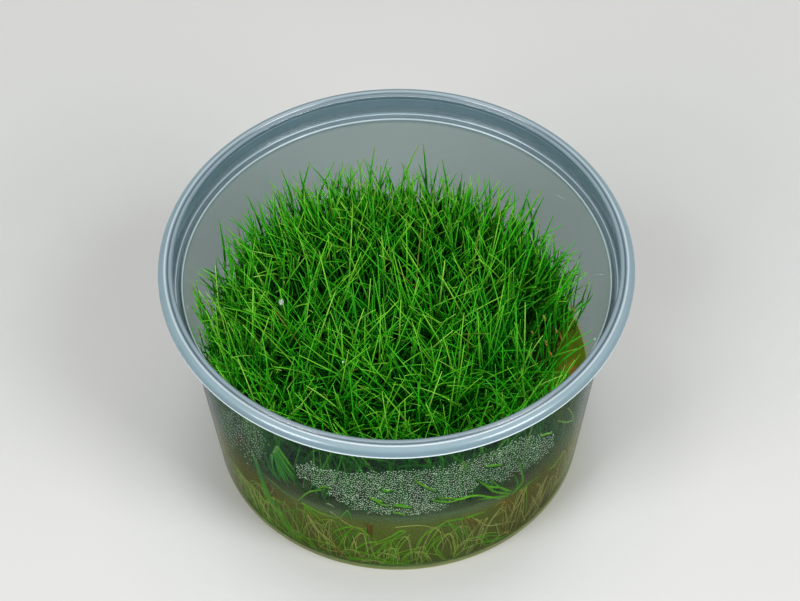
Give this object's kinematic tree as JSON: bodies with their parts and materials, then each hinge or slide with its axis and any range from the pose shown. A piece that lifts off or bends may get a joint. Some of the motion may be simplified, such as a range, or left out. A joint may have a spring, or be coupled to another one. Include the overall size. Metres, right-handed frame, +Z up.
{
  "type": "dwarf hairgrass in a tissue-culture cup",
  "caption": "Dense turf of fine, upright grass leaves rooted in clear jelly inside a round translucent cup with a stepped rim and an open top.",
  "frame": {"origin": "centre of the cup's underside, on the surface that it stands on", "axes": "+Z up through the cup's open mouth, +Y towards the back of the cup as pictured"},
  "size_m": [0.1, 0.1, 0.0566],
  "materials": {
    "milky_plastic": "milky see-through moulded polypropylene with a satin surface",
    "amber_gel": "wet, clear amber agar jelly",
    "leaf_green": "fresh bright green leaf, slightly glossy"
  },
  "bodies": {
    "root": {"cup": "milky_plastic", "agar_gel": "amber_gel", "tuft_01": "leaf_green", "tuft_02": "leaf_green", "tuft_03": "leaf_green", "tuft_04": "leaf_green", "tuft_05": "leaf_green", "tuft_06": "leaf_green", "tuft_07": "leaf_green", "tuft_08": "leaf_green", "tuft_09": "leaf_green", "tuft_10": "leaf_green", "tuft_11": "leaf_green", "tuft_12": "leaf_green", "tuft_13": "leaf_green", "tuft_14": "leaf_green", "tuft_15": "leaf_green", "tuft_16": "leaf_green", "tuft_17": "leaf_green", "tuft_18": "leaf_green", "tuft_19": "leaf_green", "tuft_20": "leaf_green", "tuft_21": "leaf_green", "tuft_22": "leaf_green", "tuft_23": "leaf_green", "tuft_24": "leaf_green", "tuft_25": "leaf_green", "tuft_26": "leaf_green", "tuft_27": "leaf_green", "tuft_28": "leaf_green", "tuft_29": "leaf_green", "tuft_30": "leaf_green", "tuft_31": "leaf_green", "tuft_32": "leaf_green", "tuft_33": "leaf_green", "tuft_34": "leaf_green", "tuft_35": "leaf_green", "tuft_36": "leaf_green", "tuft_37": "leaf_green", "tuft_38": "leaf_green", "tuft_39": "leaf_green"}
  },
  "joints": []
}
